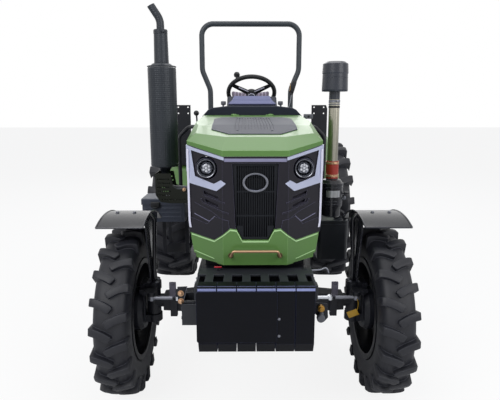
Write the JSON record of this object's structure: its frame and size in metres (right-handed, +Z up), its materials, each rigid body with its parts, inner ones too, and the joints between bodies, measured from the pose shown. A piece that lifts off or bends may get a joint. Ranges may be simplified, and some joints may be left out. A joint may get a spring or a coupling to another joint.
{
  "type": "farm tractor",
  "caption": "Open-platform farm tractor with driven front axle, tilting green hood, front weights, roll bar and three-point hitch.",
  "frame": {"origin": "on the ground, on the centre plane, midway along the overall length", "axes": "the tractor faces -Y, +X is its left side, +Z is up"},
  "size_m": [1.878, 3.7592, 2.511],
  "materials": {
    "tyre": "black rubber",
    "rim": "light grey enamel",
    "cast_dark": "dark grey enamel on castings",
    "black_steel": "satin black enamel",
    "weight_black": "gloss navy black enamel",
    "bright_steel": "bare steel",
    "chrome": "chromed",
    "engine_grey": "grey enamel",
    "black_plastic": "grained black plastic",
    "green": "green enamel",
    "charcoal": "charcoal moulded plastic",
    "trim": "pale lavender-grey enamel",
    "vent_grey": "grey moulded plastic",
    "lamp": "clear lens",
    "brass": "zinc yellow",
    "red_rubber": "red silicone hose",
    "seat": "dark vinyl",
    "exhaust": "heat-proof black"
  },
  "bodies": {
    "chassis": {"steering_cylinder": "black_steel", "front_axle": "cast_dark", "front_frame": "black_steel", "weight_carrier": "black_steel", "side_tray": "black_steel", "front_weights": "weight_black", "weight_cover_plate": "weight_black", "engine": "engine_grey", "radiator": "black_steel", "transmission": "cast_dark", "rear_axle": "cast_dark", "drawbar": "black_steel", "platform": "black_steel", "fuel_tank": "black_plastic", "battery_box": "black_plastic", "rear_fenders": "green", "fender_posts": "black_steel", "dash_cowl": "charcoal", "seat_base": "black_steel", "seat": "seat", "roll_bar": "black_steel", "grab_rails": "black_steel", "levers": "black_plastic", "exhaust": "exhaust", "muffler_guard": "exhaust", "air_cleaner": "black_plastic", "intake_pipe": "bright_steel", "intake_hose": "red_rubber", "precleaner": "black_plastic"},
    "front_wheel_left": {"front_tyre_left": "tyre", "front_rim_left": "rim"},
    "front_wheel_right": {"front_tyre_right": "tyre", "front_rim_right": "rim"},
    "rear_wheel_left": {"rear_tyre_left": "tyre", "rear_rim_left": "rim"},
    "rear_wheel_right": {"rear_tyre_right": "tyre", "rear_rim_right": "rim"},
    "knuckle_left": {"knuckle_left": "cast_dark", "front_fender_left": "black_plastic"},
    "knuckle_right": {"knuckle_right": "cast_dark", "front_fender_right": "black_plastic"},
    "tie_rod_left": {"tie_rod_left": "bright_steel"},
    "tie_rod_right": {"tie_rod_right": "bright_steel"},
    "steering_rod": {"steering_rod": "chrome"},
    "steering_wheel": {"steering_wheel": "black_plastic"},
    "hood": {"hood_shell": "green", "hood_grille": "charcoal", "grille_mesh": "black_plastic", "hood_trim": "trim", "hood_vent": "vent_grey", "hood_skirt": "green", "headlamps": "lamp", "hood_handle": "brass"},
    "battery_lid": {"battery_lid": "black_plastic"},
    "pto_shaft": {"pto_shaft": "bright_steel"},
    "top_link": {"top_link": "black_steel"},
    "lower_links": {"lower_links": "black_steel"},
    "lift_arms": {"lift_arms": "black_steel"},
    "lift_rods": {"lift_rods": "black_steel"}
  },
  "joints": [
    {"name": "steer_left", "type": "hinge", "parent": "chassis", "child": "knuckle_left", "pos_m": [0.61, -1.1393, 0.5475], "axis": [0, 0, 1], "range_deg": [-35, 35]},
    {"name": "steer_right", "type": "hinge", "parent": "chassis", "child": "knuckle_right", "pos_m": [-0.61, -1.1393, 0.5475], "axis": [0, 0, 1], "range_deg": [-36, 36]},
    {"name": "steering_rod_slide", "type": "slide", "parent": "chassis", "child": "steering_rod", "axis": [1, 0, 0], "range_m": [-0.078, 0.078]},
    {"name": "tie_rod_left_pivot", "type": "hinge", "parent": "knuckle_left", "child": "tie_rod_left", "pos_m": [0.6, -1.2693, 0.615], "axis": [0, 0, 1], "range_deg": [-36, 36]},
    {"name": "tie_rod_right_pivot", "type": "hinge", "parent": "knuckle_right", "child": "tie_rod_right", "pos_m": [-0.6, -1.2693, 0.615], "axis": [0, 0, 1], "range_deg": [-36, 36]},
    {"name": "front_wheel_left_spin", "type": "hinge", "parent": "knuckle_left", "child": "front_wheel_left", "pos_m": [0.76, -1.1393, 0.4975], "axis": [1, 0, 0], "continuous": true},
    {"name": "front_wheel_right_spin", "type": "hinge", "parent": "knuckle_right", "child": "front_wheel_right", "pos_m": [-0.76, -1.1393, 0.4975], "axis": [1, 0, 0], "continuous": true},
    {"name": "rear_wheel_left_spin", "type": "hinge", "parent": "chassis", "child": "rear_wheel_left", "pos_m": [0.75, 0.9107, 0.684], "axis": [1, 0, 0], "continuous": true},
    {"name": "rear_wheel_right_spin", "type": "hinge", "parent": "chassis", "child": "rear_wheel_right", "pos_m": [-0.75, 0.9107, 0.684], "axis": [1, 0, 0], "continuous": true},
    {"name": "steering_wheel_turn", "type": "hinge", "parent": "chassis", "child": "steering_wheel", "pos_m": [0, 0.0907, 1.838], "axis": [0, 0.6428, 0.766], "range_deg": [-570, 570]},
    {"name": "hood_lift", "type": "hinge", "parent": "chassis", "child": "hood", "pos_m": [0, -0.4593, 1.62753], "axis": [-1, 0, 0], "range_deg": [0, 60]},
    {"name": "battery_lid_lift", "type": "hinge", "parent": "chassis", "child": "battery_lid", "pos_m": [-0.6445, -0.2853, 1.018], "axis": [-1, 0, 0], "range_deg": [0, 95]},
    {"name": "pto_spin", "type": "hinge", "parent": "chassis", "child": "pto_shaft", "pos_m": [0, 1.1807, 0.62], "axis": [0, 1, 0], "continuous": true},
    {"name": "top_link_swing", "type": "hinge", "parent": "chassis", "child": "top_link", "pos_m": [0, 1.1757, 0.93], "axis": [1, 0, 0], "range_deg": [-30, 60]},
    {"name": "lift", "type": "hinge", "parent": "chassis", "child": "lift_arms", "pos_m": [0, 1.0107, 0.98], "axis": [1, 0, 0], "range_deg": [-20, 45]},
    {"name": "lower_links_swing", "type": "hinge", "parent": "chassis", "child": "lower_links", "pos_m": [0, 1.0407, 0.47], "axis": [1, 0, 0], "range_deg": [-12, 26]},
    {"name": "lift_rods_swing", "type": "hinge", "parent": "lift_arms", "child": "lift_rods", "pos_m": [0, 1.24562, 0.8945], "axis": [1, 0, 0], "range_deg": [-50, 24]}
  ],
  "couplings": [
    {"joint": "steer_right", "follows": "steer_left", "ratio": 1},
    {"joint": "steering_rod_slide", "follows": "steer_left", "m_per_rad": 0.122},
    {"joint": "tie_rod_left_pivot", "follows": "steer_left", "ratio": -1},
    {"joint": "tie_rod_right_pivot", "follows": "steer_left", "ratio": -1},
    {"joint": "steering_wheel_turn", "follows": "steer_left", "ratio": 16},
    {"joint": "lower_links_swing", "follows": "lift", "ratio": 0.55},
    {"joint": "lift_rods_swing", "follows": "lift", "ratio": -1.058}
  ]
}
